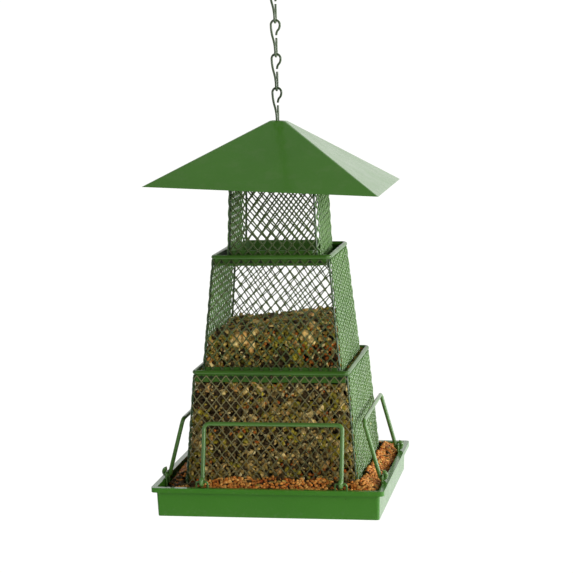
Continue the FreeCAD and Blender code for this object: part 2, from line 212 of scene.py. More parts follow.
# name, colour, deep colour, roughness, clear coat
sheet_paint = painted("green_sheet_enamel", (0.053, 0.198, 0.009), (0.048, 0.182, 0.008), 0.42, 0.65,
                      chips=0.5)
# painted shade: the collars, the upper top band, the stop flanges and the base frame take a darker copy of
# the green enamel, as if in shade
shade_toned_collar_paint = painted("shade_toned_collar_enamel", (0.042, 0.120, 0.011), (0.032, 0.094, 0.009), 0.45, 0.4,
                       dust=0.2, chips=0.6)
tray_paint = painted("green_tray_enamel", (0.036, 0.158, 0.008), (0.032, 0.146, 0.007), 0.42, 0.65,
                     dust=0.08, chips=0.12)
wire_paint = painted("green_wire_enamel", (0.084, 0.190, 0.038), (0.062, 0.148, 0.028), 0.34, 0.5,
                     dust=0.15, chips=0.6)
# painted shade: the front and back strands of the upper and middle tiers take a darker, greyer copy of the
# mesh green, as if in shade
shade_toned_mesh_paint = painted("shade_toned_mesh_dip", (0.078, 0.112, 0.034), (0.054, 0.080, 0.022), 0.45, 0.3,
                     dust=0.25)
dusty_paint = painted("dusty_mesh_dip", (0.215, 0.190, 0.088), (0.110, 0.112, 0.044), 0.55, 0.2,
                      dust=0.5)
# painted light: the side strands of every tier take a lighter, glossier copy of the mesh green, as if lit
# from the side
lit_side_mesh_paint = painted("lit_side_mesh_dip", (0.118, 0.232, 0.062), (0.086, 0.178, 0.044), 0.42, 0.8,
                     dust=0.25)
# painted shade: the folded seams take a near black copy of the mesh green, a dark line of shade along each
# corner
corner_shade_paint = painted("corner_shade_dip", (0.022, 0.052, 0.014), (0.015, 0.036, 0.009), 0.45, 0.4,
                     dust=0.1)
# painted shade: near black with no coat, for the shade seen through the mesh eyes under the rims
eye_shade_paint = painted("painted_shade_mesh_eyes", (0.012, 0.022, 0.006), (0.008, 0.016, 0.004), 0.6, 0.0, dust=0.0)
chain_paint = painted("dark_chain_enamel", (0.078, 0.118, 0.055), (0.044, 0.070, 0.034), 0.36, 0.5,
                      dust=0.1, chips=0.8)

FIBRE = (0.34, 0.26, 0.15)
SHADE_AND_HIGHLIGHT = [(0.32, (0.40, 0.37, 0.30)), (0.66, (1.18, 1.16, 1.06))]


def seed_skin(name, colours, rough, streak):
    """Dull hull: a tint for each seed, with fine streaks, and patches of painted shade and painted
    highlight.
    """
    material, tree, shader = new_material(name)
    place = place_of(tree)
    island = tree.nodes.new("ShaderNodeNewGeometry").outputs["Random Per Island"]
    stops = [(k / (len(colours) - 1), colour) for k, colour in enumerate(colours)]
    base = ramp(tree, island, stops)
    fibre = noise_node(tree, place, 900.0, 3.0, 0.6)
    base = mix(tree, span(tree, fibre, 0.42, 0.66, 0.0, streak), base, FIBRE)
    # painted shade and painted highlight: noise darkens parts of each seed and lightens others
    shade = noise_node(tree, place, 330.0, 2.0)
    base = mix(tree, 1.0, base, ramp(tree, shade, SHADE_AND_HIGHLIGHT), "MULTIPLY")
    join(tree, base, shader.inputs["Base Color"])
    join(tree, span(tree, fibre, 0.3, 0.7, rough - 0.1, rough + 0.12), shader.inputs["Roughness"])
    shader.inputs["Specular IOR Level"].default_value = 0.12
    bump(tree, shader, [(fibre, 0.0003, 0.35)])
    return material


skins = {
    "sunflower": seed_skin("seed_black_hull", [(0.016, 0.009, 0.003), (0.050, 0.030, 0.008),
                                               (0.022, 0.013, 0.004), (0.120, 0.075, 0.022)], 0.6, 0.2),
    "striped": seed_skin("seed_grey_hull", [(0.20, 0.145, 0.045), (0.40, 0.31, 0.11), (0.09, 0.062, 0.018),
                                            (0.27, 0.19, 0.06)], 0.6, 0.4),
    "grain": seed_skin("seed_grain", [(0.44, 0.28, 0.055), (0.27, 0.20, 0.028), (0.62, 0.44, 0.12),
                                      (0.15, 0.115, 0.016)], 0.55, 0.2),
    "pea": seed_skin("seed_olive", [(0.24, 0.21, 0.014), (0.42, 0.34, 0.026), (0.12, 0.118, 0.009),
                                    (0.50, 0.40, 0.05)], 0.58, 0.15),
    "peanut": seed_skin("seed_nut", [(0.72, 0.48, 0.16), (0.85, 0.68, 0.30), (0.52, 0.24, 0.06),
                                     (0.76, 0.54, 0.19)], 0.5, 0.1),
    "milo": seed_skin("seed_milo", [(0.55, 0.11, 0.012), (0.38, 0.13, 0.02), (0.66, 0.22, 0.035),
                                    (0.26, 0.05, 0.008)], 0.5, 0.1),
    "canary": seed_skin("seed_canary", [(0.72, 0.52, 0.18), (0.40, 0.26, 0.07), (0.95, 0.80, 0.42),
                                        (0.22, 0.15, 0.04), (0.60, 0.38, 0.11)], 0.45, 0.1),
    "millet": seed_skin("seed_millet", [(0.46, 0.13, 0.018), (0.74, 0.32, 0.07), (0.30, 0.07, 0.010),
                                        (0.82, 0.45, 0.13), (0.52, 0.18, 0.032)], 0.45, 0.1),
}


def heap_shade_material():
    """Painted shade: a dark fill, seen only between the seeds in front of it."""
    material, tree, shader = new_material("painted_shade_seed_core")
    place = place_of(tree)
    cells = add(tree, "ShaderNodeTexVoronoi", Scale=230.0)
    join(tree, place, cells.inputs["Vector"])
    stops = [(0.3, (0.010, 0.008, 0.004)), (0.55, (0.035, 0.026, 0.012)), (0.75, (0.075, 0.052, 0.022))]
    tint = ramp(tree, noise_node(tree, place, 120.0, 4.0, 0.6), stops)
    join(tree, tint, shader.inputs["Base Color"])
    shader.inputs["Roughness"].default_value = 0.85
    bump(tree, shader, [(cells.outputs["Distance"], 0.002, 0.8)])
    return material


heap_shade_skin = heap_shade_material()


# ------------------------------------------------------------------ mesh helpers
def make_object(name, points, faces, material, body, smooth=True):
    """A mesh object that rides on a body; faces is one array or a list of arrays."""
    data = bpy.data.meshes.new(name)
    groups = faces if isinstance(faces, list) else [faces]
    flat = [face for group in groups for face in np.asarray(group).tolist()]
    data.from_pydata(np.asarray(points).tolist(), [], flat)
    data.polygons.foreach_set("use_smooth", np.full(len(data.polygons), smooth))
    data.materials.append(material)
    data.validate()
    made = bpy.data.objects.new(name, data)
    bpy.context.scene.collection.objects.link(made)
    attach(made, body)
    return made


OUT = [np.array(v, float) for v in ((0, -1, 0), (1, 0, 0), (0, 1, 0), (-1, 0, 0))]
ALONG = [np.array(v, float) for v in ((1, 0, 0), (0, 1, 0), (-1, 0, 0), (0, -1, 0))]


class Tier:
    """A tapering wall with rounded corners, measured from its CAD mesh wall."""

    def __init__(self, node, slope, corner):
        low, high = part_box(node)
        self.foot, self.top = low.z, high.z
        self.slope, self.corner = slope, corner
        self.foot_half = high.x
        self.lean = math.atan(-slope)
        self.height = (self.top - self.foot) / math.cos(self.lean)
        self.wrap = corner * math.pi / 4 - corner      # what a rounded corner adds to the half width

    def half(self, z):
        return self.foot_half + self.slope * (z - self.foot)

    def place(self, side, u, v, w):
        """Sheet coordinates to space: u along the side, v up the slanted wall, w outwards."""
        z = self.foot + v * math.cos(self.lean)
        half = self.half(z)
        flat = half - self.corner
        angle = np.clip((np.abs(u) - flat) / self.corner, 0, math.pi / 2)
        radius = self.corner + w * math.cos(self.lean)
        across = np.where(np.abs(u) < flat, u, np.sign(u) * (flat + radius * np.sin(angle)))
        out = half - self.corner + radius * np.cos(angle)
        rise = z + w * math.sin(self.lean)
        return across[..., None] * ALONG[side] + out[..., None] * OUT[side] + rise[..., None] * UPWARD


# node, change of half width with height, corner radius
UPPER = Tier("upper_mesh", -0.0354, 10 * MM)
MIDDLE = Tier("middle_mesh", -0.0955, 6 * MM)
LOWER = Tier("lower_mesh", -0.0819, 5 * MM)


# ------------------------------------------------------------------ expanded mesh
DIAMOND_W, DIAMOND_H = 9.6 * MM, 11.8 * MM
KNUCKLE_EXTRA = 0.3 * MM
STRAND_THICK = 0.78 * MM
STRAND_TILT = math.radians(10)
WALL_MIDDLE = -0.65 * MM
SIDES = 6
STRAND_RINGS = np.array((0.0, 0.2, 0.5, 0.8, 1.0))
SHORTEST = 0.06        # a strand cut to less than this share is left out
NO_LENGTH = 1e-12
SEAM_HALF = 1.5 * MM
SEAM_STEPS = 8
EYE_HALF, EYE_DROP, EYE_RISE = 2.7 * MM, 1.9 * MM, 1.7 * MM
EYE_FACE, EYE_DEPTH = -1.15 * MM, 0.2 * MM


def clipped_strands(tier, turned, shift):
    """Strand ends in a side's flat sheet, cut to its outline, and what part of the strand is left."""
    reach = tier.foot_half + tier.height
    count = int(reach / (DIAMOND_W / 2)) + 4
    i, j = np.meshgrid(np.arange(-count, count), np.arange(-count, count), indexing="ij")
    even = (i + j) % 2 == 0
    i, j = i[even], j[even]
    cos_t, sin_t = math.cos(turned), math.sin(turned)

    def sheet(a, b):
        x, y = a * DIAMOND_W / 2 + shift[0], b * DIAMOND_H / 2 + shift[1]
        return np.stack([x * cos_t - y * sin_t, x * sin_t + y * cos_t + tier.height / 2], -1)

    start = np.concatenate([sheet(i, j), sheet(i, j)])
    end = np.concatenate([sheet(i + 1, j + 1), sheet(i - 1, j + 1)])
    edge = tier.slope * math.cos(tier.lean)
    outer = -(tier.foot_half + tier.wrap)
    limits = [(0.0, -1.0, 0.0), (0.0, 1.0, -tier.height), (1.0, -edge, outer), (-1.0, -edge, outer)]
    t0, t1 = np.zeros(len(start)), np.ones(len(start))
    for a, b, c in limits:
        f0 = start @ np.array((a, b)) + c
        f1 = end @ np.array((a, b)) + c
        cross = f0 / np.where(np.abs(f0 - f1) < NO_LENGTH, NO_LENGTH, f0 - f1)
        t0 = np.where((f0 > 0) & (f1 <= 0), np.maximum(t0, cross), t0)
        t1 = np.where((f1 > 0) & (f0 <= 0), np.minimum(t1, cross), t1)
        t1 = np.where((f0 > 0) & (f1 > 0), -1.0, t1)
    kept = t1 - t0 > SHORTEST
    return start[kept], end[kept], t0[kept], t1[kept]


def strand_tubes(tier, side, start, end, t0, t1, half_width, knuckle):
    """Closed flattened tubes, wider where they meet in a knuckle."""
    t = t0[:, None] + (t1 - t0)[:, None] * STRAND_RINGS
    centre = start[:, None, :] + (end - start)[:, None, :] * t[..., None]
    heading = (end - start) / np.linalg.norm(end - start, axis=1)[:, None]
    normal = np.stack([-heading[:, 1], heading[:, 0]], -1)
    wide = half_width + (knuckle - half_width) * np.abs(2 * t - 1) ** 4
    turns = np.arange(SIDES) * 2 * math.pi / SIDES
    a = wide[..., None] * np.cos(turns)
    b = STRAND_THICK * np.sin(turns)
    flat = a * math.cos(STRAND_TILT) - b * math.sin(STRAND_TILT)
    lift = a * math.sin(STRAND_TILT) + b * math.cos(STRAND_TILT)
    uv = centre[:, :, None, :] + normal[:, None, None, :] * flat[..., None]
    points = tier.place(side, uv[..., 0], uv[..., 1], WALL_MIDDLE + lift)
    rings = len(STRAND_RINGS)
    number = np.arange(len(start))[:, None, None, None] * rings * SIDES
    ring = np.arange(rings - 1)[None, :, None, None] * SIDES
    k = np.arange(SIDES)[None, None, :, None]
    step = (k + 1) % SIDES
    quads = np.concatenate([number + ring + k, number + ring + step, number + ring + SIDES + step,
                            number + ring + SIDES + k], -1).reshape(-1, 4)
    base = np.arange(len(start))[:, None] * rings * SIDES
    caps = np.concatenate([base + np.arange(SIDES)[::-1], base + (rings - 1) * SIDES + np.arange(SIDES)])
    return points.reshape(-1, 3), quads, caps


def gathered(name, parts, material, body):
    """One object from several lots of tubes."""
    starts = np.cumsum([0] + [len(part[0]) for part in parts])
    quads = np.concatenate([part[1] + start for part, start in zip(parts, starts)])
    caps = np.concatenate([part[2] + start for part, start in zip(parts, starts)])
    return make_object(name, np.concatenate([part[0] for part in parts]), [quads, caps], material, body)


def mesh_piece(tier_name, tier, body, turned, shifts, strand_half, paint):
    """The strands of four sides, and the folded seams where the sides meet."""
    v = np.linspace(0, tier.height, SEAM_STEPS + 1)
    u = tier.half(tier.foot + v * math.cos(tier.lean)) + tier.wrap
    seam = np.stack([u, v], -1)
    whole = (np.zeros(SEAM_STEPS), np.ones(SEAM_STEPS))
    strands, seams = [], []
    for side in range(4):
        cut = clipped_strands(tier, turned[side], shifts[side])
        strands.append(strand_tubes(tier, side, *cut, strand_half, strand_half + KNUCKLE_EXTRA))
        seams.append(strand_tubes(tier, side, seam[:-1], seam[1:], *whole, SEAM_HALF, SEAM_HALF))
    made = gathered(tier_name + "_mesh_strands", strands[0::2], paint, body)
    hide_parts(tier_name + "_mesh")
    # painted light: the side strands take the lighter copy of the mesh green
    gathered(tier_name + "_mesh_side_strands", strands[1::2], lit_side_mesh_paint, body)
    # painted shade: dark seams along the corners
    gathered(tier_name + "_mesh_seams", seams, corner_shade_paint, body)


def rim_eye_shade(name, tier, body, turned, shifts):
    """Painted shade: dark patches in the shape of the half open eyes of the mesh under a rolled rim, dark
    against the band behind them.
    """
    corners = np.array([(-EYE_HALF, 0.0), (0.0, -EYE_DROP), (EYE_HALF, 0.0), (0.0, EYE_RISE)])
    points, faces = [], []
    for side in range(4):
        count = int(tier.half(tier.top) / DIAMOND_W) + 1
        for k in range(-count, count + 1):
            u = k * DIAMOND_W + shifts[side][0] - (tier.height / 2) * math.sin(turned[side])
            if abs(u) > tier.half(tier.top) - tier.corner:
                continue
            uv = corners + np.array((u, tier.height - EYE_DROP))
            front = tier.place(side, uv[:, 0], uv[:, 1], np.full(4, EYE_FACE))
            rear = tier.place(side, uv[:, 0], uv[:, 1], np.full(4, EYE_FACE - EYE_DEPTH))
            base = len(points)
            points.extend(list(front) + list(rear))
            faces.append((base, base + 1, base + 2, base + 3))
            faces.append((base + 7, base + 6, base + 5, base + 4))
            for a in range(4):
                b = (a + 1) % 4
                faces.append((base + b, base + a, base + 4 + a, base + 4 + b))
    make_object(name, points, np.array(faces), eye_shade_paint, body, smooth=False)


# how the diamonds are turned and shifted on the front, right, back and left of each tier
ZERO = (0.0, 0.0)
UPPER_TURNS = [0.0, math.radians(4), math.radians(-4), 0.0]
UPPER_SHIFTS = [ZERO, (2.1 * MM, 0.0), (1.2 * MM, 3.0 * MM), (3.0 * MM, 1.0 * MM)]
MIDDLE_TURNS = [0.0, math.radians(10), math.radians(10), 0.0]
MIDDLE_SHIFTS = [ZERO, (1.0 * MM, 2.0 * MM), (2.6 * MM, 1.0 * MM), (0.5 * MM, 3.0 * MM)]
LOWER_TURNS = [0.0, math.radians(9.4), math.radians(9.4), 0.0]
LOWER_SHIFTS = [ZERO, (1.5 * MM, 1.0 * MM), (2.0 * MM, 2.0 * MM), (3.5 * MM, 0.0)]

mesh_piece("upper", UPPER, "hopper", UPPER_TURNS, UPPER_SHIFTS, 0.68 * MM, shade_toned_mesh_paint)
mesh_piece("middle", MIDDLE, "middle_tier", MIDDLE_TURNS, MIDDLE_SHIFTS, 0.50 * MM, shade_toned_mesh_paint)
mesh_piece("lower", LOWER, "lower_tier", LOWER_TURNS, LOWER_SHIFTS, 0.42 * MM, dusty_paint)
rim_eye_shade("middle_rim_eye_shade", MIDDLE, "middle_tier", MIDDLE_TURNS, MIDDLE_SHIFTS)
rim_eye_shade("lower_rim_eye_shade", LOWER, "lower_tier", LOWER_TURNS, LOWER_SHIFTS)


# ------------------------------------------------------------------ seed
def seed_shape(profile, around=6):
    """Unit seed: rings along x from a list of (x, radius), closed at both tips."""
    tips = [(profile[0][0], 0.0, 0.0), (profile[-1][0], 0.0, 0.0)]
    ring_points = []
    for k, (x, radius) in enumerate(profile[1:-1]):
        for a in range(around):
            angle = 2 * math.pi * (a + 0.5 * (k % 2)) / around
            ring_points.append((x, radius * math.cos(angle), radius * math.sin(angle)))
    rings = len(profile) - 2
    faces = []
    for a in range(around):
        b = (a + 1) % around
        faces.append((0, 2 + b, 2 + a))
        last = 2 + (rings - 1) * around
        faces.append((1, last + a, last + b))
        for k in range(rings - 1):
            low, high = 2 + k * around, 2 + (k + 1) * around
            if k % 2 == 0:
                faces += [(low + a, low + b, high + a), (low + b, high + b, high + a)]
            else:
                faces += [(low + a, high + b, high + a), (low + a, low + b, high + b)]
    return np.array(tips + ring_points), np.array(faces)


DROP = seed_shape([(-1, 0), (-0.72, 0.62), (-0.1, 1.0), (0.55, 0.66), (1, 0)])
OVAL = seed_shape([(-1, 0), (-0.66, 0.72), (0.0, 1.0), (0.66, 0.72), (1, 0)])
BALL = seed_shape([(-1, 0), (-0.55, 0.83), (0.55, 0.83), (1, 0)])
CHUNK = seed_shape([(-1, 0), (-0.88, 0.8), (0.35, 1.0), (0.95, 0.55), (1, 0)], around=5)

# shape, half sizes in mm (length, width, thickness), spread of size
KINDS = {
    "sunflower": (DROP, (4.7, 2.3, 1.5), 0.16),
    "striped": (DROP, (5.4, 2.6, 1.6), 0.14),
    "grain": (OVAL, (3.1, 1.45, 1.35), 0.18),
    "pea": (CHUNK, (2.7, 2.3, 1.9), 0.2),
    "peanut": (CHUNK, (4.2, 3.2, 2.4), 0.18),
    "milo": (BALL, (1.9, 1.8, 1.75), 0.12),
    "millet": (OVAL, (2.1, 1.5, 1.45), 0.16),
    "canary": (OVAL, (2.0, 1.2, 1.1), 0.18),
}
SIZE_SPREAD, SHAPE_SPREAD = 0.08, 0.05      # of each half size, and of each point of a seed
UPRIGHT_SPREAD = 0.35                       # how far a seed leans out of its surface
SHAKE = 0.42                                # of the gap between seeds
ROW = 0.866                                 # height of a row of a triangular grid, in gaps


def settle(kind, centres, outward):
    """Copies of one kind of seed, lying along the surface with the given outward normals."""
    (points, faces), size, spread = KINDS[kind]
    count = len(centres)
    scale = np.array(size) * MM * (1 + draw.uniform(-spread, spread, (count, 1)))
    scale = scale * (1 + draw.uniform(-SIZE_SPREAD, SIZE_SPREAD, (count, 3)))
    normal = outward + draw.normal(0, UPRIGHT_SPREAD, (count, 3))
    normal /= np.linalg.norm(normal, axis=1)[:, None]
    loose = draw.normal(0, 1, (count, 3))
    long_axis = np.cross(normal, loose)
    long_axis /= np.linalg.norm(long_axis, axis=1)[:, None]
    side_axis = np.cross(normal, long_axis)
    axes = np.stack([long_axis, side_axis, normal], 1)
    wobble = 1 + draw.normal(0, SHAPE_SPREAD, (count, len(points), 1))
    local = points[None] * wobble * scale[:, None, :]
    placed = np.einsum("nvk,nkc->nvc", local, axes) + centres[:, None, :]
    numbers = faces[None] + (np.arange(count) * len(points))[:, None, None]
    return placed.reshape(-1, 3), numbers.reshape(-1, 3)


def jittered(width, height, gap):
    """Points of a shaken triangular grid over a width by height rectangle about its centre line."""
    rows = max(int(height / (gap * ROW)), 1)
    columns = max(int(width / gap) + 1, 1)
    r, c = np.meshgrid(np.arange(rows + 1), np.arange(columns + 1), indexing="ij")
    x = (c + 0.5 * (r % 2)) * gap - width / 2
    y = r * gap * ROW
    points = np.stack([x.ravel(), y.ravel()], -1)
    return points + draw.uniform(-SHAKE, SHAKE, points.shape) * gap


def patchy(points, scale, seed):
    """Slow noise over the places, from about -1 to 1."""
    return np.array([noise.noise(Vector(p) * scale + Vector((seed, 0, 0))) for p in points])


# kinds that lie together: kind, centre in mm (height above the underside of the tray), radius, share
POCKETS = [
    ("grain", (-38, -64, 148), 22, 0.30), ("pea", (22, -62, 166), 20, 0.35),
    ("sunflower", (0, -80, 90), 60, 0.12), ("grain", (-10, -61, 157), 13, 0.6),
    ("grain", (15, -79, 96), 16, 0.5), ("sunflower", (8, -63, 140), 16, 0.6),
    ("sunflower", (-55, -77, 105), 22, 0.5), ("sunflower", (40, -78, 112), 14, 0.5),
    ("sunflower", (-45, -82, 70), 20, 0.4), ("canary", (44, -62, 168), 9, 0.5),
    ("canary", (0, -82, 70), 18, 0.3), ("milo", (38, -61, 150), 12, 0.5),
    ("milo", (-62, -65, 133), 10, 0.6), ("milo", (-8, -65, 130), 7, 0.5),
    ("milo", (62, -64, 150), 12, 0.5), ("milo", (-20, -78, 103), 8, 0.4),
    ("peanut", (-36, -62, 164), 5, 1.0), ("peanut", (-27, -62, 167), 4, 1.0),
    ("peanut", (-20, -62, 159), 5, 1.0), ("peanut", (-58, -65, 142), 4, 0.7),
    ("peanut", (34, -62, 168), 6, 0.6), ("peanut", (12, -84, 66), 6, 0.6),
]


PATCH_WAVES = 42.0          # of noise to a metre
PATCH_BASE, PATCH_LEAST = 0.5, 0.02


def choose(points, shares, patches):
    """A kind for each place; some kinds gather in patches and pockets."""
    names = list(shares)
    weight = np.array([shares[n] for n in names])[None] * np.ones((len(points), 1))
    for k, n in enumerate(names):
        if n in patches:
            gathered_here = PATCH_BASE + patches[n] * patchy(points, PATCH_WAVES, 7.0 * k + 3)
            weight[:, k] *= np.clip(gathered_here, PATCH_LEAST, None)
    weight /= weight.sum(1)[:, None]
    picked = (draw.uniform(size=(len(points), 1)) > np.cumsum(weight, 1)).sum(1)
    kinds = np.array(names, dtype=object)[np.clip(picked, 0, len(names) - 1)]
    for kind, centre, radius, share in POCKETS:
        away = np.linalg.norm(points - np.array(centre) * MM - np.array((0, 0, BASE_Z)), axis=1)
        kinds[(away < radius * MM) & (draw.uniform(size=len(points)) < share)] = kind
    return kinds


# shares of each kind: the large seeds, how strongly some gather, and the small seeds between
MIX = {"sunflower": 0.36, "striped": 0.14, "grain": 0.26, "pea": 0.15, "peanut": 0.04, "milo": 0.05}
PATCHES = {"pea": 2.6, "milo": 3.2, "grain": 1.2, "sunflower": 1.0}
FINES = {"canary": 0.46, "grain": 0.26, "milo": 0.08, "pea": 0.20}


def heap(name, body, centres, outward, kinds, replaced, squash=None, ceiling=math.inf):
    """One object for each kind of seed in a heap, which rests on the floor of its CAD block."""
    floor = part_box(replaced)[0].z
    for kind in KINDS:
        here = kinds == kind
        if not here.any():
            continue
        points, faces = settle(kind, centres[here], outward[here])
        points[..., 2] = np.clip(points[..., 2], floor, ceiling)
        piece = make_object("%s_%s" % (name, kind), points, faces, skins[kind], body)
        if squash:
            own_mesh(piece)
    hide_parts(replaced)


WALL_REACH = 0.2            # more than the height of any heap
CORNER_ROOM = 1.2 * MM
SLOPE_STEP = 1.0 * MM


def wall_seeds(tier, inset, low, top_of, gap, depth):
    """Places against the four walls of a tier, inset from its outer face, and their normals."""
    centres, normals = [], []
    cos_l, sin_l = math.cos(tier.lean), math.sin(tier.lean)
    for side in range(4):
        spread = jittered(2 * tier.half(low), WALL_REACH, gap)
        u, z = spread[:, 0], low + spread[:, 1]
        limit = tier.half(z) - inset - CORNER_ROOM
        kept = np.abs(u) < limit
        u, z = u[kept], z[kept]
        inward = inset + draw.uniform(0, depth, len(u))
        out = tier.half(z) - inward
        place = u[:, None] * ALONG[side] + out[:, None] * OUT[side] + z[:, None] * UPWARD
        below = place[:, 2] < top_of(place[:, 0], place[:, 1])
        centres.append(place[below])
        normals.append(np.tile(OUT[side] * cos_l + UPWARD * sin_l, (below.sum(), 1)))
    return np.concatenate(centres), np.concatenate(normals)


def surface_seeds(half, height_of, gap, sink):
    """Places over a heap's upper surface, inside a square."""
    spread = jittered(2 * half, 2 * half, gap)
    x, y = spread[:, 0], spread[:, 1] - half
    inside = (np.abs(x) < half) & (np.abs(y) < half)
    x, y = x[inside], y[inside]
    z = height_of(x, y) - draw.uniform(0, sink, len(x))
    dx = (height_of(x + SLOPE_STEP, y) - height_of(x - SLOPE_STEP, y)) / (2 * SLOPE_STEP)
    dy = (height_of(x, y + SLOPE_STEP) - height_of(x, y - SLOPE_STEP)) / (2 * SLOPE_STEP)
    normal = np.stack([-dx, -dy, np.ones(len(x))], -1)
    return np.stack([x, y, z], -1), normal / np.linalg.norm(normal, axis=1)[:, None]


CORE_STEPS, CORE_LEVELS, CORE_RINGS = 22, 10, 20
CORE_SINK = 2.5 * MM
WAVES = 160.0               # of noise to a metre
WAVE_DEPTH, LID_WAVE = 0.8 * MM, 0.7 * MM


def core(name, tier, body, inset, low, height_of):
    """The dark inside of a heap, a painted shade a little behind its seeds, as a rippled closed block."""
    points, faces = [], []
    ring = [(side, -1 + 2 * k / CORE_STEPS) for side in range(4) for k in range(CORE_STEPS)]
    for level in range(CORE_LEVELS + 1):
        for side, u in ring:
            half = tier.half(low) - inset
            flat = OUT[side] * half + ALONG[side] * u * half
            high = float(height_of(flat[:1], flat[1:2])[0]) - CORE_SINK
            z = low + (high - low) * level / CORE_LEVELS
            half = tier.half(z) - inset
            place = OUT[side] * half + ALONG[side] * u * half + np.array((0, 0, z))
            wave = noise.noise(Vector(place) * WAVES)
            points.append(place - OUT[side] * (WAVE_DEPTH * (1 + wave)))
    around = len(ring)
    for level in range(CORE_LEVELS):
        for k in range(around):
            a, b = level * around + k, level * around + (k + 1) % around
            faces.append((a, b, b + around, a + around))
    top = CORE_LEVELS * around
    middle = len(points)
    for rings in range(1, CORE_RINGS):
        share = 1 - rings / CORE_RINGS
        for k in range(around):
            edge = np.array(points[top + k])
            x, y = edge[0] * share, edge[1] * share
            z = float(height_of(np.array([x]), np.array([y]))[0]) - CORE_SINK
            points.append((x, y, z + LID_WAVE * noise.noise(Vector((x, y, z)) * WAVES)))
    for rings in range(CORE_RINGS - 1):
        inner = middle + rings * around
        outer = top if rings == 0 else middle + (rings - 1) * around
        for k in range(around):
            step = (k + 1) % around
            faces.append((outer + k, outer + step, inner + step, inner + k))
    faces.append(tuple(middle + (CORE_RINGS - 2) * around + k for k in range(around)))
    faces.append(tuple(range(around))[::-1])
    made = make_object(name, points, [np.array([f]) for f in faces], heap_shade_skin, body)
    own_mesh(made)


# ---- seed in the middle tier, a slope that rises towards +X, and in the full lower tier
MIDDLE_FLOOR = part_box("seed_middle")[0].z
LOWER_FLOOR, LOWER_TOP = (corner.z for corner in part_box("seed_lower"))
SLOPE_LOW, SLOPE_HIGH, SLOPE_AT = BASE_Z + 166.5 * MM, BASE_Z + 180.5 * MM, 58 * MM
SEED_INSET = 4.45 * MM
WALL_GAP, FINE_GAP = 4.3 * MM, 4.6 * MM
FINE_INSET, CORE_INSET = 0.9 * MM, 2.6 * MM     # in front of the large seeds, and behind them
FLOOR_ROOM = 1.5 * MM
WALL_DEPTH, FINE_DEPTH, TOP_SINK = 0.9 * MM, 0.5 * MM, 1.0 * MM
SLOPE_ENDS = (-1.1, 0.42)                       # where the slope levels off, in SLOPE_AT


def ripple(x, y, size, height, seed):
    """Uneven height; size is how many waves of noise there are to a metre."""
    return height * np.array([noise.noise(Vector((a * size, b * size, seed))) for a, b in zip(x, y)])


def middle_surface(x, y):
    middle, rise = (SLOPE_LOW + SLOPE_HIGH) / 2, (SLOPE_HIGH - SLOPE_LOW) / 2
    level = middle + rise * np.clip(x / SLOPE_AT, *SLOPE_ENDS)
    return level + ripple(x, y, 55.0, 3.0 * MM, 1.5)


def lower_surface(x, y):
    return np.full(len(x), LOWER_TOP) + ripple(x, y, 50.0, 0.5 * MM, 4.5)


def fill(name, tier, body, floor, surface, top_half, replaced, joint, keep, ceiling=math.inf):
    """A tier's heap: large and small seeds at its walls, seeds on top, and the dark inside."""
    low = floor + FLOOR_ROOM
    squash = (joint, (0, 0, floor), keep)
    wall, wall_n = wall_seeds(tier, SEED_INSET, low, surface, WALL_GAP, WALL_DEPTH)
    kinds = choose(wall, MIX, PATCHES)
    fine, fine_n = wall_seeds(tier, SEED_INSET - FINE_INSET, low, surface, FINE_GAP, FINE_DEPTH)
    fine_kinds = choose(fine, FINES, PATCHES)
    top, top_n = surface_seeds(top_half, surface, FINE_GAP, TOP_SINK)
    top_kinds = choose(top, MIX, PATCHES)
    heap(name, body, np.concatenate([wall, fine, top]), np.concatenate([wall_n, fine_n, top_n]),
         np.concatenate([kinds, fine_kinds, top_kinds]), replaced, squash, ceiling)
    core(name + "_core", tier, body, SEED_INSET + CORE_INSET, low, surface)


fill("middle_seed", MIDDLE, "middle_tier", MIDDLE_FLOOR, middle_surface,
     MIDDLE.half(SLOPE_LOW) - SEED_INSET - 1.0 * MM, "seed_middle", "middle_tier_lift", 0.18)
fill("lower_seed", LOWER, "lower_tier", LOWER_FLOOR, lower_surface,
     20 * MM, "seed_lower", "lower_tier_lift", 0.2, ceiling=MIDDLE_FLOOR)


# ---- gutter of the lower collar
GUTTER_INNER, GUTTER_WALL, GUTTER_GAP = 70.4 * MM, 3.6 * MM, 2.2 * MM
GUTTER_RISE = 0.6 * MM


def ring_places(inner, outer, gap):
    """Places in a square ring."""
    spread = jittered(2 * outer, 2 * outer, gap)
    x, y = spread[:, 0], spread[:, 1] - outer
    reach = np.maximum(np.abs(x), np.abs(y))
    kept = (reach > inner) & (reach < outer)
    return x[kept], y[kept]


def gutter_heap():
    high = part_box("seed_gutter")[1].z
    x, y = ring_places(GUTTER_INNER, LOWER.half(high) - GUTTER_WALL, GUTTER_GAP)
    z = np.full(len(x), high + GUTTER_RISE) + ripple(x, y, 70.0, 1.2 * MM, 9.5)
    gutter = np.stack([x, y, z], -1)
    kinds = choose(gutter, {"grain": 0.4, "milo": 0.2, "canary": 0.3, "pea": 0.1}, {})
    heap("gutter_seed", "lower_tier", gutter, np.tile(UPWARD, (len(x), 1)), kinds,
         "seed_gutter")


gutter_heap()


# ---- spilled seed in the tray
TRAY_INNER = LOWER.half(BASE_Z + 20 * MM) + 1.4 * MM
TRAY_OUTER = 104.4 * MM
TRAY_GAP = 2.5 * MM
TRAY_LEVEL, TRAY_FALL = 34.0, 11.0      # mm above the underside at the mesh, and less at the rim
BANK_HALF, BANK_RISE = 45 * MM, 3.0 * MM
FRONT_AT, FRONT_FADE = -60 * MM, 15 * MM
# hollows in the heap along the front: place along it, half width, depth
TRAY_DIPS = [(-88 * MM, 26 * MM, 8.0 * MM), (67 * MM, 8 * MM, 6.0 * MM)]
TRAY_STEPS, TRAY_RINGS = 40, 6
TRAY_CORE_SINK = 1.6 * MM
TRAY_SINK = 0.8 * MM
